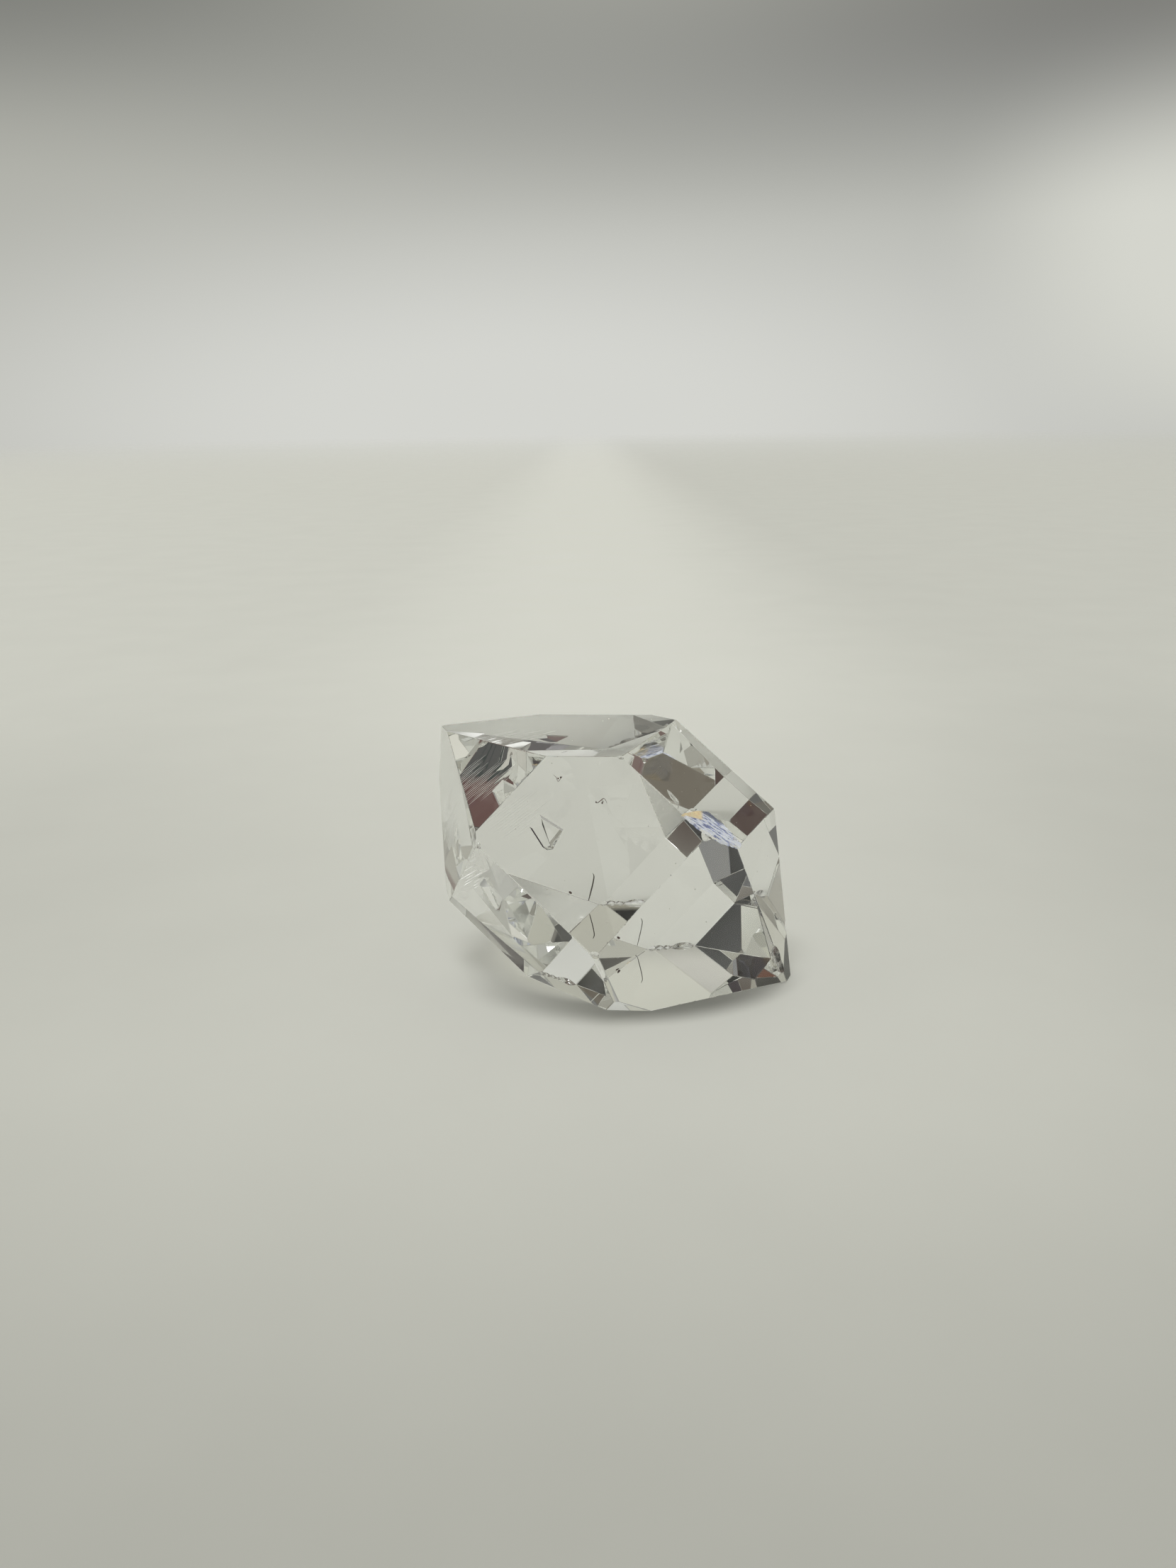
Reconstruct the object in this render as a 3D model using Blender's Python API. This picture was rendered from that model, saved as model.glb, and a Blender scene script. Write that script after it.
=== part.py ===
"""Herkimer diamond: one clear quartz crystal with a point at both ends, in metres, +Z up.

Six prism faces stand round the long axis and six end faces close each point.  The crystal lies
on one of its lower end faces, so its long axis rises from the floor.  The origin is on the floor,
under the middle of the crystal's box.
"""
import math

import bmesh
import bpy
from mathutils import Matrix, Vector

MM = 0.001

# Quartz keeps its angles, so a face needs only its distance from the crystal's middle.
END_FACE_TILT = math.radians(38.21)
FACE_DISTANCES = {
    "prism": (4.27, 4.40, 4.68, 5.99, 4.30, 4.40),
    "upper": (5.60, 4.60, 5.35, 4.31, 5.70, 5.51),
    "lower": (4.53, 5.22, 5.49, 5.89, 3.71, 5.51),
}
TILT_TO_UPPER_POINT = {"prism": 0.0, "upper": END_FACE_TILT, "lower": -END_FACE_TILT}
SIDES = 6
RESTING_SIDE = 5
HEADING = math.radians(155.93)
ROUGH_BLOCK_WIDTH = 30.0

# The edge between prism side 6 and lower end face 1 is rubbed down to a narrow flat.
RUBBED_EDGE = (("prism", 6), ("lower", 1))
RUBBED_EDGE_WIDTH = 0.17

# A growth pit in upper end face 4: (across, towards the upper point), from the foot of that face.
PIT_FACE = ("upper", 4)
PIT_OUTLINE = ((0.60, 0.60), (0.42, -0.60), (1.20, -0.86), (1.37, -0.70), (1.40, -0.46), (1.17, 0.58))
PIT_VALLEY = ((0.82, 0.33), (1.20, -0.62))
PIT_WALL_DEPTH = 0.09
PIT_VALLEY_DEPTH = 0.20
PIT_FLOOR_SHARE = 0.88

# Shell-shaped chips at corners: the three faces that meet there, bite radius and depth.
CORNER_CHIPS = {
    "front_corner_chip": ((("prism", 1), ("prism", 6), ("lower", 1)), 0.42, 0.10),
    "left_corner_chip": ((("prism", 1), ("prism", 6), ("upper", 6)), 0.40, 0.09),
    "top_corner_chip": ((("prism", 1), ("prism", 2), ("upper", 2)), 0.30, 0.06),
    "right_corner_chip": ((("prism", 1), ("prism", 2), ("lower", 1)), 0.40, 0.11),
    "upper_point_chip": ((("upper", 2), ("upper", 4), ("upper", 6)), 0.35, 0.06),
    "back_corner_chip": ((("upper", 4), ("prism", 4), ("lower", 5)), 0.30, 0.07),
}

# Chips along edges: the two faces, the two faces that end the edge, and the bites.
# A bite is (share of the way along the edge, bite radius, depth).
EDGE_CHIPS = {
    "lower_point_chip": (
        ("lower", 1), ("lower", 2), ("prism", 2), ("lower", 5),
        ((0.80, 0.95, 0.13), (0.88, 0.60, 0.10)),
    ),
    "right_edge_chip": (
        ("lower", 2), ("lower", 3), ("prism", 3), ("lower", 5),
        ((0.70, 0.35, 0.05),),
    ),
    "back_edge_chip": (
        ("prism", 4), ("lower", 5), ("upper", 4), ("lower", 4),
        ((0.16, 0.28, 0.08), (0.34, 0.24, 0.07), (0.70, 1.20, 0.10)),
    ),
}
CHIP_ROUNDNESS = 3
CLOSE = 1e-7


def clear_scene():
    for old in list(bpy.data.objects):
        bpy.data.objects.remove(old)


def resting_turn():
    """Lays the crystal on its resting face, then turns its long axis to the heading."""
    lay_down = Matrix.Rotation(math.radians(90.0) - END_FACE_TILT, 3, "Y")
    return Matrix.Rotation(HEADING, 3, "Z") @ lay_down


def face_normal(face):
    """Outward normal of one (kind, side) face."""
    kind, side = face
    azimuth = math.radians(360.0 / SIDES * (side - RESTING_SIDE))
    tilt = TILT_TO_UPPER_POINT[kind]
    upright = Vector((
        math.cos(azimuth) * math.cos(tilt),
        math.sin(azimuth) * math.cos(tilt),
        math.sin(tilt),
    ))
    return resting_turn() @ upright


def face_distance(face):
    kind, side = face
    return FACE_DISTANCES[kind][side - 1] * MM


def corner(faces):
    """The point where three faces meet."""
    rows = Matrix([face_normal(face) for face in faces])
    distances = Vector([face_distance(face) for face in faces])
    return rows.inverted() @ distances


def cut_flat(mesh, normal, distance):
    """Takes off all that lies outside one plane and closes the cut."""
    everything = mesh.verts[:] + mesh.edges[:] + mesh.faces[:]
    cut = bmesh.ops.bisect_plane(
        mesh,
        geom=everything,
        dist=CLOSE,
        plane_co=normal * distance,
        plane_no=normal,
        clear_outer=True,
    )
    rim = [part for part in cut["geom_cut"] if isinstance(part, bmesh.types.BMEdge)]
    bmesh.ops.contextual_create(mesh, geom=rim)


def rubbed_edge_plane():
    """Plane of the narrow flat, square to the bisector of the two faces."""
    first, second = (face_normal(face) for face in RUBBED_EDGE)
    middle = (first + second).normalized()
    half_angle = first.angle(second) / 2.0
    on_edge = corner((*RUBBED_EDGE, ("lower", 6)))
    depth = RUBBED_EDGE_WIDTH / 2.0 * math.tan(half_angle) * MM
    return middle, on_edge.dot(middle) - depth


def crystal_mesh():
    """A rough block cut back to every face in turn."""
    mesh = bmesh.new()
    bmesh.ops.create_cube(mesh, size=ROUGH_BLOCK_WIDTH * MM)
    for kind, distances in FACE_DISTANCES.items():
        for side in range(1, len(distances) + 1):
            face = (kind, side)
            cut_flat(mesh, face_normal(face), face_distance(face))
    cut_flat(mesh, *rubbed_edge_plane())
    bmesh.ops.recalc_face_normals(mesh, faces=mesh.faces[:])
    return mesh


def add_object(name, mesh):
    data = bpy.data.meshes.new(name)
    mesh.to_mesh(data)
    mesh.free()
    made = bpy.data.objects.new(name, data)
    bpy.context.scene.collection.objects.link(made)
    return made


def cut_away(crystal, name, mesh):
    """Cuts one shape out of the crystal."""
    cutter = add_object(name, mesh)
    cutter.hide_render = True
    cutter.display_type = "WIRE"
    cutter.parent = crystal
    cut = crystal.modifiers.new(name, "BOOLEAN")
    cut.operation = "DIFFERENCE"
    cut.solver = "EXACT"
    cut.object = cutter


def pit_mesh():
    """A shield-shaped hollow with steep walls and two floor facets that meet in a valley."""
    outward = face_normal(PIT_FACE)
    to_point = resting_turn() @ Vector((0.0, 0.0, 1.0))
    up = (to_point - to_point.dot(outward) * outward).normalized()
    across = up.cross(outward)
    foot = outward * face_distance(PIT_FACE)
    middle = sum((Vector(point) for point in PIT_OUTLINE), Vector((0.0, 0.0))) / len(PIT_OUTLINE)

    def place(point, depth):
        return foot + (across * point[0] + up * point[1] - outward * depth) * MM

    mesh = bmesh.new()
    for point in PIT_OUTLINE:
        inner = middle.lerp(Vector(point), PIT_FLOOR_SHARE)
        mesh.verts.new(place(point, -PIT_WALL_DEPTH))
        mesh.verts.new(place(point, 0.0))
        mesh.verts.new(place(inner, PIT_WALL_DEPTH))
    for point in PIT_VALLEY:
        mesh.verts.new(place(point, PIT_VALLEY_DEPTH))
    bmesh.ops.convex_hull(mesh, input=mesh.verts[:])
    bmesh.ops.recalc_face_normals(mesh, faces=mesh.faces[:])
    return mesh


def bite_mesh(at, faces, radius, depth):
    """A ball that dips below a corner or an edge by the depth."""
    outward = sum((face_normal(face) for face in faces), Vector()).normalized()
    centre = at + outward * (radius - depth) * MM
    mesh = bmesh.new()
    bmesh.ops.create_icosphere(
        mesh,
        subdivisions=CHIP_ROUNDNESS,
        radius=radius * MM,
        matrix=Matrix.Translation(centre),
    )
    return mesh


def chip_corners(crystal):
    for name, (faces, radius, depth) in CORNER_CHIPS.items():
        cut_away(crystal, name, bite_mesh(corner(faces), faces, radius, depth))


def chip_edges(crystal):
    for name, (first, second, start, end, bites) in EDGE_CHIPS.items():
        start_corner = corner((first, second, start))
        end_corner = corner((first, second, end))
        for count, (share, radius, depth) in enumerate(bites, start=1):
            at = start_corner.lerp(end_corner, share)
            cut_away(crystal, f"{name}_{count}", bite_mesh(at, (first, second), radius, depth))


def quartz_material():
    material = bpy.data.materials.new("clear_quartz")
    material.use_nodes = True
    shader = material.node_tree.nodes["Principled BSDF"]
    shader.inputs["Base Color"].default_value = (0.93, 0.94, 0.93, 1.0)
    shader.inputs["Roughness"].default_value = 0.03
    shader.inputs["Metallic"].default_value = 0.0
    shader.inputs["IOR"].default_value = 1.544
    shader.inputs["Transmission Weight"].default_value = 1.0
    return material


def stand_on_floor(crystal):
    """Moves the crystal so that the floor touches it and its box is centred over the origin."""
    bpy.context.view_layer.update()
    cut_crystal = crystal.evaluated_get(bpy.context.evaluated_depsgraph_get())
    corners = [Vector(point) for point in cut_crystal.bound_box]
    low = Vector([min(point[axis] for point in corners) for axis in range(3)])
    high = Vector([max(point[axis] for point in corners) for axis in range(3)])
    middle = (low + high) / 2.0
    crystal.location = (-middle.x, -middle.y, -low.z)


def main():
    clear_scene()
    crystal = add_object("quartz_crystal", crystal_mesh())
    crystal.data.materials.append(quartz_material())
    cut_away(crystal, "growth_pit", pit_mesh())
    chip_corners(crystal)
    chip_edges(crystal)
    stand_on_floor(crystal)


main()
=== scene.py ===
"""Herkimer diamond: the looks of one clear quartz crystal on a pale studio floor.

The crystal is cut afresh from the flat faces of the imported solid, with worn edges, shell-shaped
chips, a growth pit, growth lines and one thin inclusion.  A torn crack lies just under one face, and
a lint fibre, reddish threads and dust lie on others.  Lengths in the modelling functions are
millimetres; each finished piece is brought to metres at the end.
"""
import math
import random

import bpy
from bpy.props import FloatProperty, FloatVectorProperty, PointerProperty
from mathutils import Matrix, Vector


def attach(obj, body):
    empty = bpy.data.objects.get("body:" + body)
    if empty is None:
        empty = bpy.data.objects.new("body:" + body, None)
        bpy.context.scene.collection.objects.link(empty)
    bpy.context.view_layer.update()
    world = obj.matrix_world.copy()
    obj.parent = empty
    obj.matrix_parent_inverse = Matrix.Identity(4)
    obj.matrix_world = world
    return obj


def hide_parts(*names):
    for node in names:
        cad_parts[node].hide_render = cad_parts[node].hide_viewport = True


bl_info = {
    "name": "Herkimer Diamond",
    "version": (1, 0, 0),
    "blender": (4, 5, 0),
    "location": "View3D > Sidebar > Crystal",
    "description": "Builds a clear quartz crystal with its chips, growth lines and lint, and a small studio",
    "category": "Object",
}

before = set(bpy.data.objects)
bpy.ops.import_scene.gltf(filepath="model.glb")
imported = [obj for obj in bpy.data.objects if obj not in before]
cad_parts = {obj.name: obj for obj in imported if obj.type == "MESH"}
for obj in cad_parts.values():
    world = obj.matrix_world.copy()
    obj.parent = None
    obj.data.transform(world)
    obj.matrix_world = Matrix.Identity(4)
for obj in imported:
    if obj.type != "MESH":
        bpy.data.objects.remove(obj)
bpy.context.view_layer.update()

MM = 0.001
NODE = "quartz_crystal"
BODY = "root"
CLOSE = 1e-5


class Socket:
    """A node's output that can stand in plain sums, so that a pattern reads as an expression."""

    def __init__(self, sheet, socket):
        self.sheet = sheet
        self.socket = socket

    def maths(self, operation, *values):
        return self.sheet.node("ShaderNodeMath", {"operation": operation}, dict(enumerate(values)))

    def __add__(self, other):
        return self.maths("ADD", self, other)

    def __sub__(self, other):
        return self.maths("SUBTRACT", self, other)

    def __rsub__(self, other):
        return self.maths("SUBTRACT", other, self)

    def __mul__(self, other):
        return self.maths("MULTIPLY", self, other)

    def __truediv__(self, other):
        return self.maths("DIVIDE", self, other)

    def root(self):
        return self.maths("SQRT", self)

    __radd__ = __add__
    __rmul__ = __mul__


class NodeSheet:
    """The nodes of one material or of the world."""

    def __init__(self, owner):
        owner.use_nodes = True
        self.tree = owner.node_tree
        self.tree.nodes.clear()

    def node(self, kind, settings=None, inputs=None, output=0):
        """Adds one node, sets it up, fills its sockets and gives back one output."""
        made = self.tree.nodes.new(kind)
        for name, value in (settings or {}).items():
            setattr(made, name, value)
        for name, value in (inputs or {}).items():
            if isinstance(value, Socket):
                self.tree.links.new(value.socket, made.inputs[name])
            else:
                made.inputs[name].default_value = value
        return Socket(self, made.outputs[output]) if len(made.outputs) else None

    def dot(self, first, second):
        inputs = {0: first, 1: second}
        return self.node("ShaderNodeVectorMath", {"operation": "DOT_PRODUCT"}, inputs, "Value")

    def step(self, value, low, high):
        """0 below low, 1 above high and a smooth rise between them."""
        return self.node(
            "ShaderNodeMapRange",
            {"interpolation_type": "SMOOTHSTEP", "clamp": True},
            {"Value": value, "From Min": low, "From Max": high},
        )

    def noise(self, place, fineness, detail):
        inputs = {"Vector": place, "Scale": fineness, "Detail": detail}
        return self.node("ShaderNodeTexNoise", inputs=inputs)

    def mix(self, share, first, second):
        return self.node(
            "ShaderNodeMix",
            {"data_type": "RGBA", "clamp_factor": True},
            {0: share, 6: first, 7: second},
            2,
        )


def rgba(colour):
    return (*colour[:3], 1.0)


class CrystalSettings(bpy.types.PropertyGroup):
    edge_wear: FloatProperty(
        name="Edge wear",
        description="Width of the worn band along every edge",
        default=0.00002,
        min=0.0,
        precision=6,
        unit="LENGTH",
    )
    refraction: FloatProperty(
        name="Refraction",
        description="Index of refraction of quartz",
        default=1.544,
        min=1.0,
        max=2.0,
    )
    tint: FloatVectorProperty(
        name="Tint",
        description="Colour that the crystal lets through",
        default=(0.93, 0.94, 0.92),
        size=3,
        min=0.0,
        max=1.0,
        subtype="COLOR",
    )
    absorption: FloatProperty(
        name="Absorption",
        description="Density of the absorption inside the crystal, for one metre of way",
        default=20.0,
        min=0.0,
    )


class MarkSettings(bpy.types.PropertyGroup):
    fibre_width: FloatProperty(
        name="Fibre width",
        description="Width of the lint fibre on the large back face",
        default=0.000030,
        min=0.0,
        precision=6,
        unit="LENGTH",
    )
    fibre_colour: FloatVectorProperty(
        name="Fibre colour",
        description="Colour of the lint fibre",
        default=(0.10, 0.085, 0.07),
        size=3,
        min=0.0,
        max=1.0,
        subtype="COLOR",
    )
    thread_width: FloatProperty(
        name="Thread width",
        description="Width of the short reddish threads on the large back face",
        default=0.000016,
        min=0.0,
        precision=6,
        unit="LENGTH",
    )
    thread_colour: FloatVectorProperty(
        name="Thread colour",
        description="Colour of the reddish threads and crumbs",
        default=(0.16, 0.06, 0.045),
        size=3,
        min=0.0,
        max=1.0,
        subtype="COLOR",
    )
    dust_width: FloatProperty(
        name="Dust width",
        description="Width of the largest dust grain",
        default=0.000045,
        min=0.0,
        precision=6,
        unit="LENGTH",
    )
    dust_colour: FloatVectorProperty(
        name="Dust colour",
        description="Colour of the dust",
        default=(0.72, 0.70, 0.64),
        size=3,
        min=0.0,
        max=1.0,
        subtype="COLOR",
    )
    crack_colour: FloatVectorProperty(
        name="Crack colour",
        description="Colour of the crack's bright bands",
        default=(0.94, 0.97, 1.0),
        size=3,
        min=0.0,
        max=1.0,
        subtype="COLOR",
    )
    crack_end_colour: FloatVectorProperty(
        name="Crack end colour",
        description="Colour of the crack's thin left end",
        default=(0.95, 0.80, 0.52),
        size=3,
        min=0.0,
        max=1.0,
        subtype="COLOR",
    )


class StudioSettings(bpy.types.PropertyGroup):
    floor_colour: FloatVectorProperty(
        name="Floor colour",
        description="Colour of the pale floor",
        default=(0.80, 0.81, 0.76),
        size=3,
        min=0.0,
        max=1.0,
        subtype="COLOR",
    )
    room_colour: FloatVectorProperty(
        name="Room colour",
        description="Colour of the light that comes from the pale walls all round",
        default=(0.392, 0.387, 0.350),
        size=3,
        min=0.0,
        max=1.0,
        subtype="COLOR",
    )
    lamp_strength: FloatProperty(
        name="Lamp strength",
        description="Brightness of the soft lamp over the crystal",
        default=6.0,
        min=0.0,
    )


def deselect_all():
    if bpy.context.mode != "OBJECT":
        bpy.ops.object.mode_set(mode="OBJECT")
    bpy.ops.object.select_all(action="DESELECT")


def select_only(obj):
    deselect_all()
    obj.select_set(True)
    bpy.context.view_layer.objects.active = obj


def open_for_editing(obj):
    select_only(obj)
    bpy.ops.object.mode_set(mode="EDIT")
    bpy.ops.mesh.select_all(action="SELECT")


def apply_place(obj):
    select_only(obj)
    bpy.ops.object.transform_apply(location=True, rotation=True, scale=True)


def to_metres(obj):
    obj.scale = (MM, MM, MM)
    apply_place(obj)


def cut_away(obj, cutter):
    """Takes the cutter's shape out of the piece and deletes the cutter."""
    apply_place(cutter)
    select_only(obj)
    cut = obj.modifiers.new("cut", "BOOLEAN")
    cut.operation = "DIFFERENCE"
    cut.solver = "EXACT"
    cut.object = cutter
    bpy.ops.object.modifier_apply(modifier=cut.name)
    bpy.data.objects.remove(cutter)


# A face of the solid counts from this area up, in square mm, if no point stands further out of it
# than this.  Triangles whose normals are nearly alike belong to one face.
SMALLEST_FACE = 0.1
STAND_OUT = 0.002
SAME_WAY = 0.9999
BLOCK_WIDTH = 40.0

# Quartz keeps its angles, so a face is named by its kind and its side and found by its direction.
END_FACE_TILT = math.radians(38.21)
TILT_TO_UPPER_POINT = {"prism": 0.0, "upper": END_FACE_TILT, "lower": -END_FACE_TILT}
SIDES = 6
RESTING_SIDE = 5
HEADING = math.radians(155.93)
# The crystal's middle.  The foot of each face is the point of its plane that is nearest to here.
CRYSTAL_MIDDLE = Vector((0.082, -0.323, 3.71))


def resting_turn():
    """From the upright crystal to the crystal as it lies."""
    lay_down = Matrix.Rotation(math.radians(90.0) - END_FACE_TILT, 3, "Y")
    return Matrix.Rotation(HEADING, 3, "Z") @ lay_down


def face_way(kind, side):
    """Outward normal of one named face."""
    azimuth = math.radians(360.0 / SIDES * (side - RESTING_SIDE))
    tilt = TILT_TO_UPPER_POINT[kind]
    upright = Vector((
        math.cos(azimuth) * math.cos(tilt),
        math.sin(azimuth) * math.cos(tilt),
        math.sin(tilt),
    ))
    return resting_turn() @ upright


def outer_faces():
    """(outward normal, distance in mm) of each flat face of the solid that nothing stands out of."""
    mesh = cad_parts[NODE].data
    points = [vertex.co / MM for vertex in mesh.vertices]
    found = []
    for polygon in mesh.polygons:
        area = polygon.area / MM**2
        normal = polygon.normal.copy()
        known = next((face for face in found if normal.dot(face["normal"]) > SAME_WAY), None)
        if known:
            known["area"] += area
            continue
        distance = normal.dot(points[polygon.vertices[0]])
        if max(normal.dot(point) for point in points) < distance + STAND_OUT:
            found.append({"normal": normal, "distance": distance, "area": area})
    return [(face["normal"], face["distance"]) for face in found if face["area"] > SMALLEST_FACE]


def named_face(faces, name):
    """The (normal, distance) whose normal lies nearest to the named face's."""
    way = face_way(*name)
    return max(faces, key=lambda face: face[0].dot(way))


def corner(faces, names):
    """The point where three named faces meet."""
    planes = [named_face(faces, name) for name in names]
    rows = Matrix([normal for normal, distance in planes])
    return rows.inverted() @ Vector([distance for normal, distance in planes])


def face_frame(faces, name):
    """Places a thing on a face: x across, y towards the upper point and z outwards, from the face's foot."""
    normal, distance = named_face(faces, name)
    to_point = resting_turn() @ Vector((0.0, 0.0, 1.0))
    along = (to_point - to_point.dot(normal) * normal).normalized()
    across = along.cross(normal)
    foot = CRYSTAL_MIDDLE + normal * (distance - normal.dot(CRYSTAL_MIDDLE))
    turn = Matrix((across, along, normal)).transposed().to_4x4()
    return Matrix.Translation(foot) @ turn


def cut_block(faces, edge_wear):
    """A block bisected at every face, with its edges worn."""
    deselect_all()
    bpy.ops.mesh.primitive_cube_add(size=BLOCK_WIDTH)
    crystal = bpy.context.object
    crystal.name = "crystal"
    open_for_editing(crystal)
    for normal, distance in faces:
        bpy.ops.mesh.select_all(action="SELECT")
        bpy.ops.mesh.bisect(
            plane_co=normal * distance,
            plane_no=normal,
            use_fill=True,
            clear_outer=True,
            threshold=CLOSE,
        )
    bpy.ops.mesh.select_all(action="SELECT")
    bpy.ops.mesh.normals_make_consistent(inside=False)
    bpy.ops.mesh.select_all(action="SELECT")
    bpy.ops.mesh.bevel(offset=edge_wear, segments=2, affect="EDGES", clamp_overlap=True)
    bpy.ops.object.mode_set(mode="OBJECT")
    return crystal


# The growth pit in the large back face: its outline and its valley on that face, and its depths.
PIT_FACE = ("upper", 4)
PIT_OUTLINE = ((0.60, 0.60), (0.42, -0.60), (1.20, -0.86), (1.37, -0.70), (1.40, -0.46), (1.17, 0.58))
PIT_VALLEY = ((0.82, 0.33), (1.20, -0.62))
PIT_WALL_DEPTH = 0.09
PIT_VALLEY_DEPTH = 0.20
PIT_FLOOR_SHARE = 0.88


def cut_pit(crystal, faces):
    """A shield-shaped hollow with steep walls and two floor facets that meet in a valley."""
    deselect_all()
    bpy.ops.mesh.primitive_circle_add(vertices=len(PIT_OUTLINE), fill_type="NGON")
    pit = bpy.context.object
    for vertex, (across, along) in zip(pit.data.vertices, PIT_OUTLINE):
        vertex.co = (across, along, PIT_WALL_DEPTH)
    middle = sum((Vector(point) for point in PIT_OUTLINE), Vector((0.0, 0.0))) / len(PIT_OUTLINE)
    open_for_editing(pit)
    down = {"value": (0.0, 0.0, -PIT_WALL_DEPTH)}
    bpy.ops.mesh.extrude_region_move(TRANSFORM_OT_translate=down)
    bpy.ops.mesh.extrude_region_move(TRANSFORM_OT_translate=down)
    bpy.ops.transform.resize(
        value=(PIT_FLOOR_SHARE, PIT_FLOOR_SHARE, 1.0),
        center_override=(*middle, -PIT_WALL_DEPTH),
    )
    bpy.ops.mesh.extrude_region_move(TRANSFORM_OT_translate={"value": (0.0, 0.0, -PIT_WALL_DEPTH)})
    bpy.ops.object.mode_set(mode="OBJECT")
    deepest = min(vertex.co.z for vertex in pit.data.vertices)
    ends = [Vector((*point, -PIT_VALLEY_DEPTH)) for point in PIT_VALLEY]
    for vertex in pit.data.vertices:
        if vertex.co.z < deepest + CLOSE:
            vertex.co = min(ends, key=lambda end: (end.xy - vertex.co.xy).length)
    open_for_editing(pit)
    bpy.ops.mesh.remove_doubles(threshold=CLOSE)
    bpy.ops.mesh.select_all(action="SELECT")
    bpy.ops.mesh.convex_hull()
    bpy.ops.mesh.select_all(action="SELECT")
    bpy.ops.mesh.normals_make_consistent(inside=False)
    bpy.ops.object.mode_set(mode="OBJECT")
    pit.matrix_world = face_frame(faces, PIT_FACE)
    cut_away(crystal, pit)


# Chips at corners: the three faces that meet there, bite radius and depth.
CORNER_CHIPS = (
    ((("prism", 1), ("prism", 6), ("lower", 1)), 0.42, 0.10),
    ((("prism", 1), ("prism", 6), ("upper", 6)), 0.40, 0.09),
    ((("prism", 1), ("prism", 2), ("upper", 2)), 0.30, 0.06),
    ((("prism", 1), ("prism", 2), ("lower", 1)), 0.40, 0.11),
    ((("upper", 2), ("upper", 4), ("upper", 6)), 0.35, 0.06),
    ((("upper", 4), ("prism", 4), ("lower", 5)), 0.30, 0.07),
)

# Chips along edges: the two faces, the two faces that end the edge, and the bites.
# A bite is (share of the way along the edge, bite radius, depth).
EDGE_CHIPS = (
    (("lower", 1), ("lower", 2), ("prism", 2), ("lower", 5), ((0.80, 0.95, 0.13), (0.88, 0.60, 0.10))),
    (("lower", 2), ("lower", 3), ("prism", 3), ("lower", 5), ((0.70, 0.35, 0.05),)),
    (
        ("prism", 4), ("lower", 5), ("upper", 4), ("lower", 4),
        ((0.16, 0.28, 0.08), (0.34, 0.24, 0.07), (0.70, 1.20, 0.10)),
    ),
)
CHIP_ROUNDNESS = 5
NICK_ROUNDNESS = 3
CHIP_WAVES = 0.05
CHIP_WAVE_LENGTH = 0.4

# Small nicks along edges: the two faces, the two faces that end the edge, how many there are, how
# far they reach along the edge, and their largest bite radius.
NICKED_EDGES = (
    (("prism", 4), ("lower", 5), ("upper", 4), ("lower", 4), 16, (0.03, 0.72), 0.17),
    (("prism", 6), ("lower", 1), ("prism", 1), ("lower", 6), 5, (0.1, 0.9), 0.12),
    (("prism", 1), ("lower", 1), ("prism", 6), ("prism", 2), 4, (0.55, 0.95), 0.10),
    (("lower", 1), ("lower", 2), ("prism", 2), ("lower", 5), 4, (0.2, 0.9), 0.10),
    (("prism", 2), ("prism", 3), ("upper", 2), ("lower", 2), 5, (0.15, 0.9), 0.12),
    (("prism", 1), ("upper", 1), ("upper", 2), ("prism", 6), 3, (0.1, 0.9), 0.08),
    (("prism", 1), ("prism", 6), ("upper", 1), ("lower", 1), 5, (0.05, 0.95), 0.10),
    (("lower", 1), ("lower", 5), ("lower", 6), ("lower", 2), 5, (0.1, 0.9), 0.14),
)
NICK_SMALLEST = 0.4
NICK_DEPTH_SHARES = (0.12, 0.28)
NICK_STEPS = (0.1, 0.9)
NICK_SIDEWAYS = 0.5


def cut_bite(crystal, bites, place, ways, radius, depth, roundness):
    """A shell-shaped bite with faint waves, like broken glass."""
    outward = sum(ways, Vector()).normalized()
    centre = place + outward * (radius - depth)
    bites.append((centre, radius))
    deselect_all()
    bpy.ops.mesh.primitive_ico_sphere_add(subdivisions=roundness, radius=radius, location=centre)
    ball = bpy.context.object
    apply_place(ball)
    waves = bpy.data.textures.new("chip_waves", "CLOUDS")
    waves.noise_scale = radius * CHIP_WAVE_LENGTH
    push = ball.modifiers.new("waves", "DISPLACE")
    push.texture = waves
    push.strength = radius * CHIP_WAVES
    bpy.ops.object.modifier_apply(modifier=push.name)
    cut_away(crystal, ball)


def along_edge(faces, first, second, start, end, share):
    """A point on the edge between two faces, and the ways out of the two faces."""
    start_corner = corner(faces, (first, second, start))
    end_corner = corner(faces, (first, second, end))
    ways = [named_face(faces, name)[0] for name in (first, second)]
    return start_corner.lerp(end_corner, share), ways


def cut_chips(crystal, faces):
    """Cuts every chip and nick, and gives back their centres and radii."""
    bites = []
    for names, radius, depth in CORNER_CHIPS:
        ways = [named_face(faces, name)[0] for name in names]
        cut_bite(crystal, bites, corner(faces, names), ways, radius, depth, CHIP_ROUNDNESS)
    for *edge, chips in EDGE_CHIPS:
        for share, radius, depth in chips:
            place, ways = along_edge(faces, *edge, share)
            cut_bite(crystal, bites, place, ways, radius, depth, CHIP_ROUNDNESS)
    chance = random.Random(11)
    for *edge, count, reach, largest in NICKED_EDGES:
        for nick in range(count):
            share = reach[0] + (reach[1] - reach[0]) * (nick + chance.uniform(*NICK_STEPS)) / count
            radius = largest * chance.uniform(NICK_SMALLEST, 1.0)
            depth = radius * chance.uniform(*NICK_DEPTH_SHARES)
            place, ways = along_edge(faces, *edge, share)
            sideways = chance.uniform(-NICK_SIDEWAYS, NICK_SIDEWAYS)
            place += sum(ways, Vector()).cross(ways[0]) * radius * sideways
            cut_bite(crystal, bites, place, ways, radius, depth, NICK_ROUNDNESS)
    return bites


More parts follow.
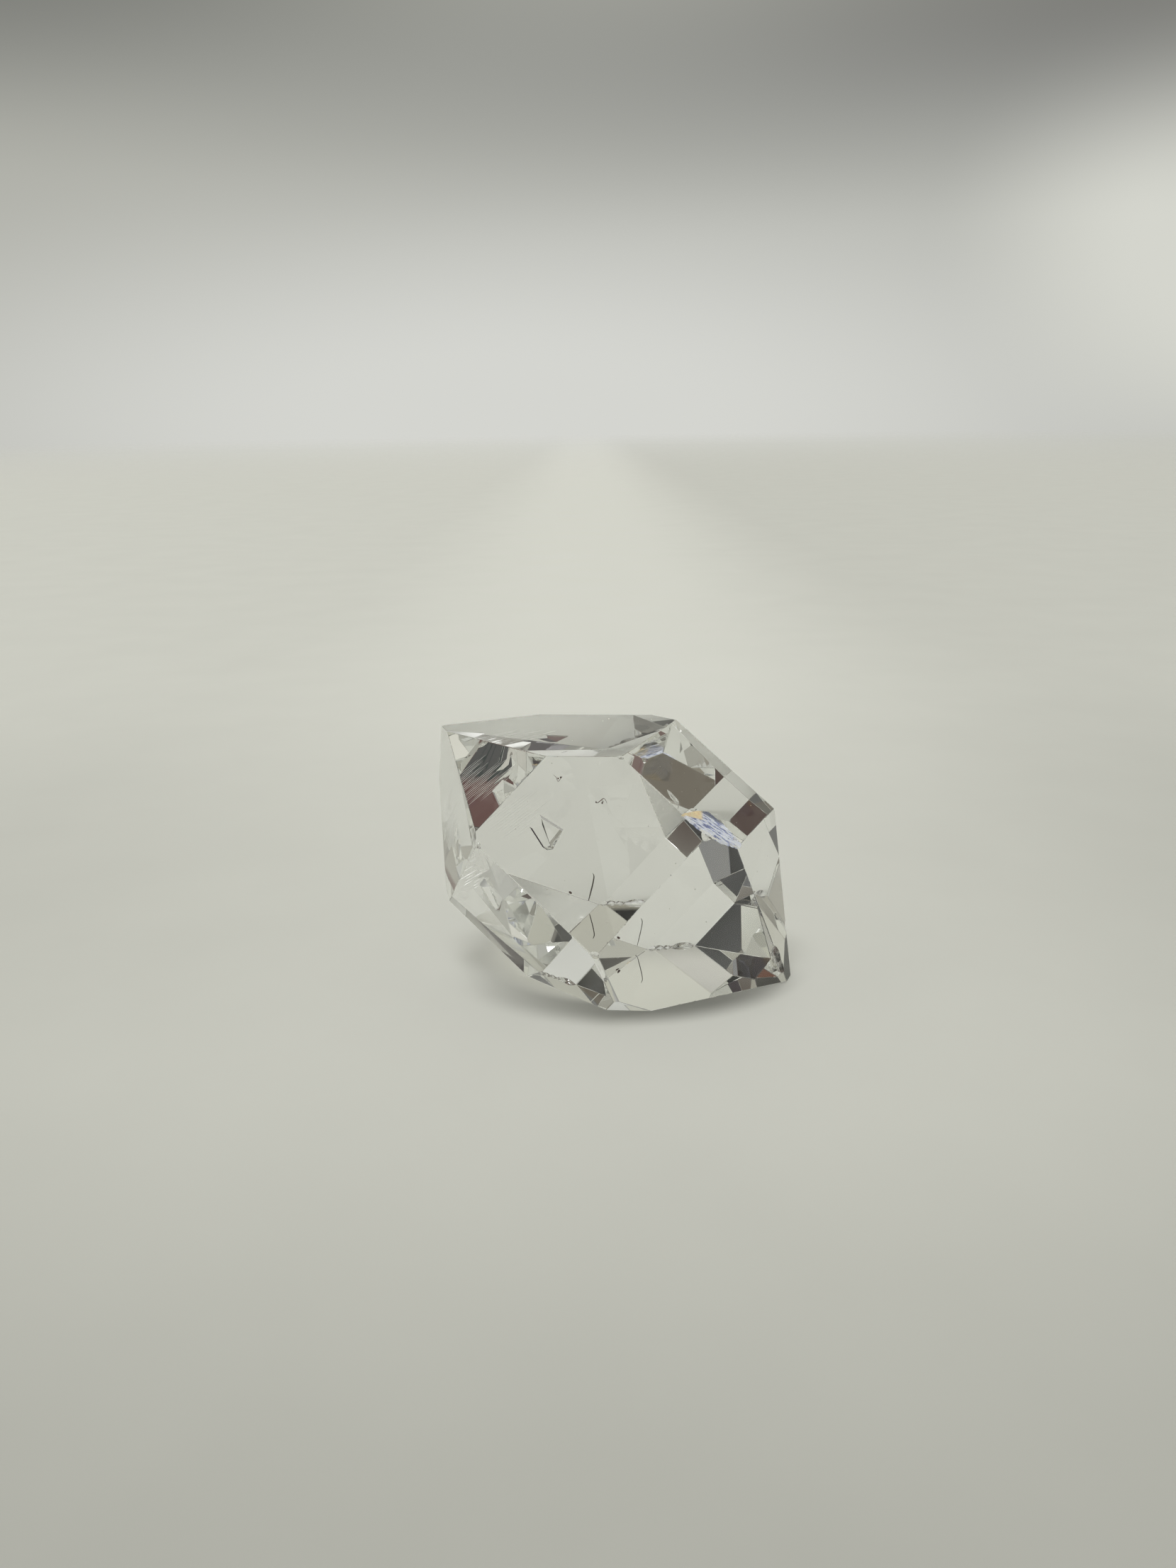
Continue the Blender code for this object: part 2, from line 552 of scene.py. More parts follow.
# A flat drop-shaped inclusion under an upper prism face: its middle and heading on that face, its
# depth and its half sizes.
INCLUSION_FACE = ("prism", 2)
INCLUSION_MIDDLE = (-1.80, -0.22)
INCLUSION_DEPTH = 0.25
INCLUSION_HEADING = math.radians(-22.0)
INCLUSION_SIZE = (0.14, 0.32, 0.03)
INCLUSION_TAPER = 0.35


def inclusion_frame(faces):
    middle = Matrix.Translation((*INCLUSION_MIDDLE, -INCLUSION_DEPTH))
    return face_frame(faces, INCLUSION_FACE) @ middle @ Matrix.Rotation(INCLUSION_HEADING, 4, "Z")


def cut_inclusion(crystal, faces):
    """A closed hollow inside the crystal, thin as a leaf."""
    deselect_all()
    bpy.ops.mesh.primitive_ico_sphere_add(subdivisions=4, radius=1.0)
    hollow = bpy.context.object
    for vertex in hollow.data.vertices:
        vertex.co.x *= 1.0 - INCLUSION_TAPER * vertex.co.y
    hollow.matrix_world = inclusion_frame(faces) @ Matrix.Diagonal((*INCLUSION_SIZE, 1.0))
    cut_away(crystal, hollow)


# A point belongs to a bite if it lies near the ball's surface, in shares of its radius, and under
# the flat faces.  It belongs to the inclusion if it lies within reach of its middle.
BRUISE_RIM = 0.08
BRUISE_SUNK = 0.0015
INCLUSION_REACH = 1.02 * max(INCLUSION_SIZE)


def mark_bruises(crystal, faces, bites):
    """Writes 1 at every point of a chip, a nick or the inclusion and 0 elsewhere, for the finish."""
    bruise = crystal.data.attributes.new("bruise", "FLOAT", "POINT")
    inclusion = inclusion_frame(faces).translation
    for vertex, value in zip(crystal.data.vertices, bruise.data):
        place = vertex.co
        sunk = min(distance - normal.dot(place) for normal, distance in faces)
        on_bite = any(abs((place - centre).length / radius - 1.0) < BRUISE_RIM for centre, radius in bites)
        on_inclusion = (place - inclusion).length < INCLUSION_REACH
        value.value = 1.0 if (on_bite or on_inclusion) and sunk > BRUISE_SUNK else 0.0


# Growth lines on the large back face: rows of fine grooves that run across the long axis.
LINE_FACE = ("upper", 4)
LINE_ROWS = 23
LINE_LOWEST = 0.30
LINE_SPACING = 0.105
LINE_SLOPE = 0.22
LINE_LENGTHS = (1.0, 2.4)
LINE_MIDDLES = (0.9, 2.0)
LINE_WIDTHS = (0.022, 0.048)
LINE_DEPTH_SHARE = 0.45
LINE_LIFT_SHARE = 0.3
LINE_SHIFT = 0.008
LINE_TURN = 0.012


def cut_growth_lines(crystal, faces):
    """Long thin grooves with pointed ends, each a little off its row."""
    chance = random.Random(7)
    place = face_frame(faces, LINE_FACE)
    deselect_all()
    grooves = []
    for row in range(LINE_ROWS):
        length = chance.uniform(*LINE_LENGTHS)
        middle = chance.uniform(*LINE_MIDDLES)
        width = chance.uniform(*LINE_WIDTHS)
        shift = chance.uniform(-LINE_SHIFT, LINE_SHIFT)
        along = LINE_LOWEST + row * LINE_SPACING + middle * LINE_SLOPE + shift
        turn = Matrix.Rotation(math.atan(LINE_SLOPE) + chance.uniform(-LINE_TURN, LINE_TURN), 4, "Z")
        bpy.ops.mesh.primitive_uv_sphere_add(segments=6, ring_count=8, radius=1.0)
        groove = bpy.context.object
        size = Matrix.Diagonal((length / 2.0, width / 2.0, width * LINE_DEPTH_SHARE, 1.0))
        lie = Matrix.Rotation(math.radians(90.0), 4, "Y")
        lift = width * LINE_DEPTH_SHARE * LINE_LIFT_SHARE
        groove.matrix_world = place @ Matrix.Translation((middle, along, lift)) @ turn @ size @ lie
        grooves.append(groove)
    for groove in grooves:
        groove.select_set(True)
    bpy.context.view_layer.objects.active = grooves[0]
    bpy.ops.object.join()
    cut_away(crystal, bpy.context.object)


# Finish of the crystal: the fineness of each pattern per metre and how rough it makes the surface.
SCUFF_FINENESS = 900.0
SCUFF_ROUGHNESS = 0.012
GRIT_FINENESS = 9000.0
GRIT_ROUGHNESS = 0.36
QUARTZ_COLOUR = (0.985, 0.99, 0.985, 1.0)


def quartz_material(settings):
    """Clear all through, with faint scuffs, and grit in the bruises."""
    material = bpy.data.materials.new("clear_quartz")
    sheet = NodeSheet(material)
    place = sheet.node("ShaderNodeTexCoord", output="Object")
    scuffs = sheet.noise(place, SCUFF_FINENESS, 3.0)
    grit = sheet.noise(place, GRIT_FINENESS, 4.0)
    bruise = sheet.node("ShaderNodeAttribute", {"attribute_name": "bruise"}, output="Fac")
    scuffed = sheet.step(scuffs, 0.55, 0.8) * SCUFF_ROUGHNESS
    rough = scuffed + bruise * sheet.step(grit, 0.3, 0.65) * GRIT_ROUGHNESS
    shader = sheet.node(
        "ShaderNodeBsdfPrincipled",
        inputs={
            "Base Color": QUARTZ_COLOUR,
            "Roughness": rough,
            "IOR": settings.refraction,
            "Transmission Weight": 1.0,
        },
    )
    body = sheet.node(
        "ShaderNodeVolumeAbsorption",
        inputs={"Color": rgba(settings.tint), "Density": settings.absorption},
    )
    sheet.node("ShaderNodeOutputMaterial", inputs={"Surface": shader, "Volume": body})
    return material


SMOOTH_ANGLE = math.radians(9.0)


class CRYSTAL_OT_quartz(bpy.types.Operator):
    """Cuts the crystal and gives it its clear finish"""

    bl_idname = "crystal.quartz"
    bl_label = "Quartz crystal"

    def execute(self, context):
        settings = context.scene.crystal
        faces = outer_faces()
        crystal = cut_block(faces, settings.edge_wear / MM)
        cut_pit(crystal, faces)
        bites = cut_chips(crystal, faces)
        cut_inclusion(crystal, faces)
        cut_growth_lines(crystal, faces)
        mark_bruises(crystal, faces, bites)
        crystal.data.materials.append(quartz_material(settings))
        select_only(crystal)
        bpy.ops.object.shade_smooth_by_angle(angle=SMOOTH_ANGLE)
        to_metres(crystal)
        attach(crystal, BODY)
        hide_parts(NODE)
        return {"FINISHED"}


BACK_FACE = ("upper", 4)

# Paths of the lint fibre and of the short reddish threads, all on the large back face.
FIBRE_PATH = (
    (-0.60, 4.39, 0.10), (-0.52, 4.40, 0.43), (-0.44, 4.41, 0.76), (-0.375, 4.41, 1.08),
    (-0.37, 4.40, 1.22), (-0.42, 4.37, 1.31),
)
THREAD_PATHS = (
    ((-1.87, 3.42, 5.53), (-1.76, 3.47, 5.42), (-1.73, 3.50, 5.30), (-1.70, 3.52, 5.22)),
    ((-1.70, 3.52, 5.22), (-1.63, 3.54, 5.28), (-1.55, 3.57, 5.41)),
    ((-0.33, 4.18, 4.24), (-0.28, 4.20, 4.12), (-0.18, 4.24, 4.18), (-0.09, 4.28, 4.25), (-0.02, 4.30, 4.29),
     (0.06, 4.34, 4.19), (0.10, 4.37, 4.06)),
    ((-0.09, 4.28, 4.25), (-0.07, 4.29, 4.16), (-0.08, 4.29, 4.07), (-0.02, 4.31, 4.18)),
)
THREAD_END = 0.4
THREAD_BENDS = 6
THREAD_LIFT = 1.2

# Crumbs on the large back face: place, width, stretch towards the upper point, and turn on the face.
CRUMBS = (
    ((-1.69, 3.51, 5.35), 0.055, 1.3, 0.2),
    ((-1.59, 3.55, 5.38), 0.060, 1.5, -0.8),
    ((-0.30, 4.19, 4.17), 0.055, 1.4, 0.3),
    ((-0.08, 4.29, 4.10), 0.050, 1.5, 0.1),
    ((-1.43, 4.00, 0.57), 0.11, 0.6, 0.2),
    ((-1.26, 4.07, 0.68), 0.08, 1.9, -0.1),
)
CRUMB_ROUNDNESS = 3
CRUMB_ROUGHNESS = 0.35
CRUMB_LUMP_SIZE = 0.35
CRUMB_FLATNESS = 0.35


def onto_face(faces, name, point, height):
    """The point, moved square to a named face until it stands off the face by the height."""
    normal, distance = named_face(faces, name)
    point = Vector(point)
    return point + normal * (distance + height - normal.dot(point))


def make_thread(points, radius):
    """A round thread through the points, thinner at both ends."""
    deselect_all()
    bpy.ops.curve.primitive_nurbs_path_add()
    path = bpy.context.object
    path.data.splines.clear()
    line = path.data.splines.new("NURBS")
    line.points.add(len(points) - 1)
    for spot, point in zip(line.points, points):
        spot.co = (*point, 1.0)
    line.order_u = 3
    line.use_endpoint_u = True
    line.resolution_u = THREAD_BENDS
    line.points[0].radius = THREAD_END
    line.points[-1].radius = THREAD_END
    path.data.bevel_depth = radius
    path.data.bevel_resolution = 2
    path.data.use_fill_caps = True
    bpy.ops.object.convert(target="MESH")
    thread = bpy.context.object
    open_for_editing(thread)
    bpy.ops.mesh.remove_doubles(threshold=CLOSE)
    bpy.ops.mesh.select_all(action="SELECT")
    bpy.ops.mesh.normals_make_consistent(inside=False)
    bpy.ops.object.mode_set(mode="OBJECT")
    return thread


def make_crumb(roundness):
    """A rough lump about one unit wide."""
    deselect_all()
    bpy.ops.mesh.primitive_ico_sphere_add(subdivisions=roundness, radius=0.5)
    crumb = bpy.context.object
    lumps = bpy.data.textures.new("lumps", "CLOUDS")
    lumps.noise_scale = CRUMB_LUMP_SIZE
    push = crumb.modifiers.new("lumps", "DISPLACE")
    push.texture = lumps
    push.strength = CRUMB_ROUGHNESS
    bpy.ops.object.modifier_apply(modifier=push.name)
    return crumb


def copy_of(model, place):
    """A copy with its own mesh, put in place."""
    copy = model.copy()
    copy.data = model.data.copy()
    bpy.context.scene.collection.objects.link(copy)
    copy.matrix_world = place
    return copy


def join_pieces(pieces, name):
    deselect_all()
    for piece in pieces:
        piece.select_set(True)
    bpy.context.view_layer.objects.active = pieces[0]
    if len(pieces) > 1:
        bpy.ops.object.join()
    joined = bpy.context.object
    joined.name = name
    apply_place(joined)
    return joined


def finish_piece(piece, material):
    """Gives a joined piece its finish, brings it to metres and lets it ride on the crystal."""
    piece.data.materials.clear()
    piece.data.materials.append(material)
    to_metres(piece)
    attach(piece, BODY)


DARK_SPOTS = 0.55
LIGHT_SPOTS = 1.35
SPOT_ROUGHNESS = 0.3


def mottled_material(name, colour, fineness, roughness):
    """Dull colour with lighter and darker spots."""
    material = bpy.data.materials.new(name)
    sheet = NodeSheet(material)
    place = sheet.node("ShaderNodeTexCoord", output="Object")
    spots = sheet.noise(place, fineness, 3.0)
    dark = tuple(DARK_SPOTS * channel for channel in colour)
    light = tuple(min(1.0, LIGHT_SPOTS * channel) for channel in colour)
    shader = sheet.node(
        "ShaderNodeBsdfPrincipled",
        inputs={
            "Base Color": sheet.mix(sheet.step(spots, 0.35, 0.65), rgba(dark), rgba(light)),
            "Roughness": spots * SPOT_ROUGHNESS + roughness,
        },
    )
    sheet.node("ShaderNodeOutputMaterial", inputs={"Surface": shader})
    return material


class CRYSTAL_OT_fibre(bpy.types.Operator):
    """Lays the dark lint fibre on the large back face"""

    bl_idname = "crystal.fibre"
    bl_label = "Lint fibre"

    def execute(self, context):
        settings = context.scene.marks
        faces = outer_faces()
        radius = settings.fibre_width / MM / 2.0
        points = [onto_face(faces, BACK_FACE, point, radius * THREAD_LIFT) for point in FIBRE_PATH]
        fibre = join_pieces([make_thread(points, radius)], "lint_fibre")
        lint = mottled_material("lint", settings.fibre_colour, fineness=9000.0, roughness=0.5)
        finish_piece(fibre, lint)
        return {"FINISHED"}


class CRYSTAL_OT_threads(bpy.types.Operator):
    """Lays the reddish threads and crumbs on the large back face"""

    bl_idname = "crystal.threads"
    bl_label = "Reddish threads"

    def execute(self, context):
        settings = context.scene.marks
        faces = outer_faces()
        radius = settings.thread_width / MM / 2.0
        pieces = []
        for path in THREAD_PATHS:
            points = [onto_face(faces, BACK_FACE, point, radius * THREAD_LIFT) for point in path]
            pieces.append(make_thread(points, radius))
        crumb = make_crumb(CRUMB_ROUNDNESS)
        turn_to_face = face_frame(faces, BACK_FACE).to_3x3().to_4x4()
        for place, width, stretch, turn in CRUMBS:
            middle = onto_face(faces, BACK_FACE, place, width * CRUMB_FLATNESS / 2.0)
            size = Matrix.Diagonal((width, width * stretch, width * CRUMB_FLATNESS, 1.0))
            lie = turn_to_face @ Matrix.Rotation(turn, 4, "Z")
            pieces.append(copy_of(crumb, Matrix.Translation(middle) @ lie @ size))
        bpy.data.objects.remove(crumb)
        for piece in pieces:
            apply_place(piece)
        threads = join_pieces(pieces, "reddish_threads")
        reddish = mottled_material("reddish_crumbs", settings.thread_colour, fineness=12000.0, roughness=0.5)
        finish_piece(threads, reddish)
        return {"FINISHED"}


# Dusty faces, how many grains lie on each, and the middle and half width of the dusty part, in mm
# on that face's own axes.
DUSTY_FACES = (
    (("prism", 2), 46, (0.3, -1.0), (1.6, 3.2)),
    (("lower", 2), 30, (0.0, 0.5), (1.5, 2.0)),
    (("prism", 1), 26, (0.3, 0.0), (2.6, 3.6)),
    (("upper", 1), 18, (0.0, -0.5), (1.5, 2.0)),
    (("upper", 2), 26, (0.0, 0.0), (3.5, 2.0)),
    (("lower", 1), 22, (0.0, 0.5), (2.5, 2.0)),
)
DUST_SMALLEST = 0.3
DUST_NARROWEST = 0.5
DUST_FLATNESS = 0.5
DUST_LIFT = 0.3
INSIDE = 0.03


class CRYSTAL_OT_dust(bpy.types.Operator):
    """Scatters fine pale dust over the faces"""

    bl_idname = "crystal.dust"
    bl_label = "Dust"

    def execute(self, context):
        settings = context.scene.marks
        faces = outer_faces()
        largest = settings.dust_width / MM
        chance = random.Random(23)
        model = make_crumb(1)
        grains = []
        for name, count, middle, spread in DUSTY_FACES:
            place = face_frame(faces, name)
            own = named_face(faces, name)
            for grain in range(count):
                across = middle[0] + spread[0] * chance.uniform(-1.0, 1.0)
                along = middle[1] + spread[1] * chance.uniform(-1.0, 1.0)
                width = largest * (DUST_SMALLEST + (1.0 - DUST_SMALLEST) * chance.random() ** 2)
                turn = Matrix.Rotation(chance.uniform(0.0, math.tau), 4, "Z")
                breadth = width * chance.uniform(DUST_NARROWEST, 1.0)
                size = Matrix.Diagonal((width, breadth, width * DUST_FLATNESS, 1.0))
                lift = width * DUST_FLATNESS * DUST_LIFT
                spot = place @ Matrix.Translation((across, along, lift))
                at = spot.translation
                if all(face == own or face[0].dot(at) < face[1] - INSIDE for face in faces):
                    grains.append(copy_of(model, spot @ turn @ size))
        bpy.data.objects.remove(model)
        dust = join_pieces(grains, "dust")
        pale = mottled_material("dust", settings.dust_colour, fineness=20000.0, roughness=0.6)
        finish_piece(dust, pale)
        return {"FINISHED"}


# The crack lies just under an upper prism face.  Its middle, depth and heading are on that face's
# own axes; its outline is on the crack's own axes, in mm.
CRACK_FACE = ("prism", 2)
CRACK_MIDDLE = (-1.518, -1.759)
CRACK_DEPTH = 0.10
CRACK_HEADING = math.radians(-64.5)
CRACK_OUTLINE = (
    (-1.17, -0.33), (-0.55, 0.38), (0.04, 0.81), (0.49, 0.50), (1.29, 0.23), (1.11, -0.31), (0.38, -0.60),
    (-0.55, -0.59), (-1.02, -0.43),
)
CRACK_LENGTH = 3.2
CRACK_WIDTH = 2.2
CRACK_CUTS = (50, 90)
CRACK_RIDGES = 0.03
CRACK_RIPPLES = 0.03
CRACK_THICKNESS = 0.004

# While the patterns are pushed in, the leaf is this many times too wide, which makes them fine across
# it, and it is turned by this angle, because the ridge pattern runs slantwise.
CRACK_STRETCH = 6.0
RIDGE_SLANT = math.radians(45.0)

# Colours of the crack, the brightness of its painted glow, which stands for light on its upper side,
# and the fineness of its bands, per mm along it and across it, and of its flecks, per metre.
CRACK_DARK_BANDS = (0.20, 0.24, 0.44, 1.0)
CRACK_VIOLET = (0.68, 0.72, 1.0, 1.0)
CRACK_SLATE = (0.12, 0.14, 0.22, 1.0)
CRACK_UNDERSIDE = (0.30, 0.27, 0.22, 1.0)
CRACK_PAINTED_GLOW = 0.26
BAND_FINENESS = (2.5, 10.0)
FLECK_FINENESS = 9000.0

# Where its slate edge, its gold end and its frayed end begin and end, in mm along it or across it.
# The gold end's lower side runs at a slope.
SLATE_ACROSS = (0.36, 0.50)
SLATE_ENDS = (0.3, 0.7)
GOLD_ENDS = (-0.45, -0.30)
GOLD_ACROSS = (0.14, 0.22)
GOLD_SLOPE = 0.49
FRAYS = (0.5, 1.2)


def push_by_texture(piece, kind, strength, **settings):
    """Moves a leaf's points up and down after a pattern."""
    pattern = bpy.data.textures.new("pattern", kind)
    for name, value in settings.items():
        setattr(pattern, name, value)
    push = piece.modifiers.new("pattern", "DISPLACE")
    push.texture = pattern
    push.direction = "Z"
    push.strength = strength
    select_only(piece)
    bpy.ops.object.modifier_apply(modifier=push.name)


def crack_frame(faces):
    """Places a thing on the crack: x along it and z out of it, from its middle."""
    middle = Matrix.Translation((*CRACK_MIDDLE, -CRACK_DEPTH))
    return face_frame(faces, CRACK_FACE) @ middle @ Matrix.Rotation(CRACK_HEADING, 4, "Z")


def make_crack(faces):
    """A leaf with fine ridges along its length, trimmed to the crack's outline."""
    deselect_all()
    bpy.ops.mesh.primitive_grid_add(x_subdivisions=CRACK_CUTS[0], y_subdivisions=CRACK_CUTS[1], size=1.0)
    leaf = bpy.context.object
    leaf.scale = (CRACK_LENGTH, CRACK_WIDTH * CRACK_STRETCH, 1.0)
    apply_place(leaf)
    leaf.rotation_euler = (0.0, 0.0, -RIDGE_SLANT)
    apply_place(leaf)
    push_by_texture(leaf, "WOOD", CRACK_RIDGES, wood_type="BANDNOISE", noise_scale=1.2, turbulence=8.0)
    push_by_texture(leaf, "CLOUDS", CRACK_RIPPLES, noise_scale=0.5)
    leaf.rotation_euler = (0.0, 0.0, RIDGE_SLANT)
    apply_place(leaf)
    leaf.scale = (1.0, 1.0 / CRACK_STRETCH, 1.0)
    apply_place(leaf)
    open_for_editing(leaf)
    for first, second in zip(CRACK_OUTLINE, CRACK_OUTLINE[1:] + CRACK_OUTLINE[:1]):
        side = Vector(second) - Vector(first)
        bpy.ops.mesh.select_all(action="SELECT")
        bpy.ops.mesh.bisect(
            plane_co=(*first, 0.0),
            plane_no=(-side.y, side.x, 0.0),
            clear_outer=True,
            threshold=CLOSE,
        )
    bpy.ops.object.mode_set(mode="OBJECT")
    skin = leaf.modifiers.new("skin", "SOLIDIFY")
    skin.thickness = CRACK_THICKNESS
    bpy.ops.object.modifier_apply(modifier=skin.name)
    leaf.matrix_world = crack_frame(faces)
    return leaf


def crack_material(settings, faces):
    """Silvery leaf: blue-white with slate bands, violet flecks, a cream-gold end and a dull underside; its
    upper side has a painted glow.
    """
    material = bpy.data.materials.new("iridescent_crack")
    sheet = NodeSheet(material)
    place = sheet.node("ShaderNodeTexCoord", output="Object")
    lie = crack_frame(faces)
    ahead, side, out = (lie.col[axis].to_3d() for axis in range(3))
    length = sheet.dot(place, ahead / MM) - ahead.dot(lie.translation)
    width = sheet.dot(place, side / MM) - side.dot(lie.translation)
    stretched = sheet.node(
        "ShaderNodeCombineXYZ",
        inputs={"X": length * BAND_FINENESS[0], "Y": width * BAND_FINENESS[1], "Z": 0.0},
    )
    bands = sheet.noise(stretched, 1.0, 4.0)
    flecks = sheet.noise(place, FLECK_FINENESS, 3.0)
    colour = sheet.mix(sheet.step(bands, 0.42, 0.51), CRACK_DARK_BANDS, rgba(settings.crack_colour))
    colour = sheet.mix(sheet.step(flecks, 0.52, 0.60) * 0.4, colour, CRACK_VIOLET)
    slate = sheet.step(width, *SLATE_ACROSS) * (1.0 - sheet.step(length, *SLATE_ENDS))
    colour = sheet.mix(slate * 0.85, colour, CRACK_SLATE)
    gold = (1.0 - sheet.step(length, *GOLD_ENDS)) * sheet.step(width - length * GOLD_SLOPE, *GOLD_ACROSS)
    colour = sheet.mix(gold, colour, rgba(settings.crack_end_colour))
    normal = sheet.node("ShaderNodeNewGeometry", output="Normal")
    upper = sheet.step(sheet.dot(normal, out), -0.05, 0.05)
    fraying = sheet.step(length, *FRAYS) * 0.20
    torn = sheet.step(bands + flecks * 0.3 - fraying, 0.40, 0.50)
    # Painted glow: the upper side gives off light in its own colours, for the light that the crystal gathers
    # on the leaf.
    shader = sheet.node(
        "ShaderNodeBsdfPrincipled",
        inputs={
            "Base Color": sheet.mix(upper, CRACK_UNDERSIDE, colour),
            "Metallic": 0.15,
            "Roughness": flecks * 0.25 + 0.15,
            "Alpha": torn * (upper * 0.7 + 0.3),
            "Emission Color": sheet.mix(upper, (0.0, 0.0, 0.0, 1.0), colour),
            "Emission Strength": CRACK_PAINTED_GLOW,
        },
    )
    sheet.node("ShaderNodeOutputMaterial", inputs={"Surface": shader})
    return material


class CRYSTAL_OT_crack(bpy.types.Operator):
    """Puts the iridescent crack just under the upper right prism face"""

    bl_idname = "crystal.crack"
    bl_label = "Iridescent crack"

    def execute(self, context):
        faces = outer_faces()
        crack = join_pieces([make_crack(faces)], "iridescent_crack")
        finish_piece(crack, crack_material(context.scene.marks, faces))
        return {"FINISHED"}


# The room's light: what comes from everywhere, and what it gains towards the zenith, towards the
# back (+Y) and towards the right (+X).
ROOM_GAINS = (
    ((0.0, 0.0, 1.0), (-0.064, -0.066, -0.086)),
    ((0.0, 1.0, 0.0), (0.075, 0.085, 0.088)),
    ((1.0, 0.0, 0.0), (0.036, 0.040, 0.048)),
)

# Parts of the room that are lighter or darker: azimuth from straight behind the crystal and
# elevation, half width and half height in degrees, how soft the rim is, and colour.
ROOM_ZONES = (
    (-3.0, 0.0, 24.0, 7.0, 0.70, (0.66, 0.665, 0.63)),
    (28.0, 7.0, 9.0, 7.0, 0.50, (0.66, 0.665, 0.61)),
    (-150.0, 36.0, 21.0, 16.5, 0.20, (0.0, 0.0, 0.0)),
    (-165.0, 13.0, 32.5, 9.0, 0.70, (0.01, 0.01, 0.01)),
    (-133.0, 25.0, 5.0, 6.0, 0.30, (0.08, 0.08, 0.08)),
    (172.0, 32.0, 13.0, 9.5, 0.05, (0.12, 0.10, 0.075)),
    (127.0, 53.0, 9.0, 16.0, 0.05, (0.12, 0.06, 0.055)),
    (123.0, 45.5, 8.0, 4.5, 0.15, (0.02, 0.03, 0.03)),
    (132.0, 4.0, 17.0, 33.0, 0.05, (0.05, 0.04, 0.045)),
    (32.0, 58.0, 5.0, 3.0, 0.80, (0.09, 0.07, 0.06)),
    (-12.0, 59.0, 12.0, 12.0, 0.10, (0.72, 0.71, 0.63)),
    (35.0, 17.0, 26.0, 5.0, 0.95, (0.085, 0.085, 0.09)),
    (107.0, 30.0, 25.0, 2.0, 0.50, (0.26, 0.24, 0.20)),
    (-44.0, 23.0, 34.0, 10.0, 0.40, (0.075, 0.08, 0.085)),
    (-2.0, 33.0, 83.0, 11.0, 0.90, (0.49, 0.485, 0.405)),
    (2.0, 22.5, 12.0, 3.0, 0.30, (0.58, 0.58, 0.50)),
    (-68.0, 18.0, 8.0, 6.0, 0.30, (0.52, 0.51, 0.45)),
    (95.0, 25.0, 2.5, 2.5, 0.50, (1.20, 1.20, 1.15)),
    (-160.0, 24.0, 9.0, 6.0, 0.50, (0.035, 0.006, 0.005)),
    (-144.0, 14.0, 7.0, 5.0, 0.30, (0.115, 0.045, 0.025)),
    (144.0, 51.0, 14.0, 2.0, 0.10, (0.065, 0.065, 0.065)),
    (-140.0, 46.0, 12.0, 14.0, 0.50, (0.19, 0.19, 0.19)),
    (63.0, 10.0, 20.0, 2.0, 0.50, (0.19, 0.16, 0.115)),
    (182.0, 60.0, 13.0, 3.0, 0.05, (0.01, 0.01, 0.01)),
)
LAMP_PLACE = (-110.0, 80.0, 12.0, 12.0, 0.30)
ZONE_ENDS = (0.0, 0.2)


def room_direction(azimuth, elevation):
    """Unit vector, with azimuth 0 along +Y and 90 along +X."""
    turn = math.radians(azimuth)
    rise = math.radians(elevation)
    return Vector((math.sin(turn) * math.cos(rise), math.cos(turn) * math.cos(rise), math.sin(rise)))


def room_zone(sheet, way, azimuth, elevation, width, height, softness):
    """1 inside an oval part of the room and 0 outside it, with a soft rim."""
    ahead = room_direction(azimuth, elevation)
    side = room_direction(azimuth + 90.0, 0.0)
    across = sheet.dot(way, side) / math.sin(math.radians(width))
    along = sheet.dot(way, side.cross(ahead)) / math.sin(math.radians(height))
    off_centre = (across * across + along * along).root()
    inside = 1.0 - sheet.step(off_centre, 1.0 - softness, 1.0 + softness)
    return inside * sheet.step(sheet.dot(way, ahead), *ZONE_ENDS)


def light_room(settings):
    """Soft light from all round, a soft lamp overhead and dimmer zones on the camera's side."""
    world = bpy.data.worlds.new("room")
    bpy.context.scene.world = world
    sheet = NodeSheet(world)
    way = sheet.node("ShaderNodeTexCoord", output="Generated")
    colour = tuple(settings.room_colour)
    for direction, gain in ROOM_GAINS:
        colour = sheet.node(
            "ShaderNodeVectorMath",
            {"operation": "MULTIPLY_ADD"},
            {0: sheet.dot(way, direction), 1: gain, 2: colour},
        )
    for *place, zone_colour in ROOM_ZONES:
        colour = sheet.mix(room_zone(sheet, way, *place), colour, rgba(zone_colour))
    lamp = room_zone(sheet, way, *LAMP_PLACE)
    colour = sheet.mix(lamp, colour, rgba([settings.lamp_strength] * 3))
    background = sheet.node("ShaderNodeBackground", inputs={"Color": colour, "Strength": 1.0})
    sheet.node("ShaderNodeOutputWorld", inputs={"Surface": background})


FLOOR_HALF_WIDTH = 2.0
FLOOR_GAP = 0.00003
FLOOR_FADES = (0.25, 1.3)

# Painted shade on the floor, darker towards the viewer and the sides as the light falls off: where each
# shade begins and ends, in metres, and how dark it is.
SHADE_COLOUR = (0.02, 0.02, 0.01, 1.0)
NEAR_SHADE = ((-0.030, -0.006), 0.26)
MIDDLE_SHADE = ((0.0, 0.05), 0.12)
RIGHT_SHADE = ((0.004, 0.034), 0.16)
LEFT_SHADE = ((-0.030, -0.005), 0.09)
# The floor's own faint mottling: its fineness per metre and how much darker it makes the floor.
CLOUD_FINENESS = 150.0
CLOUD_MOTTLING = 0.05

# Painted glow for the light that the crystal gathers under itself: middle and half sizes of the lit patch,
# in metres, and its colour and brightness.  The rest of the floor glows at the same strength in its own
# colour, as painted light.
GLOW_MIDDLE = (0.0004, 0.0003)
GLOW_SIZE = (0.0054, 0.0044)
GLOW_RIM = (0.75, 1.0)
GLOW_COLOUR = (0.95, 0.95, 0.84, 1.0)
FLOOR_PAINTED_GLOW = 0.27
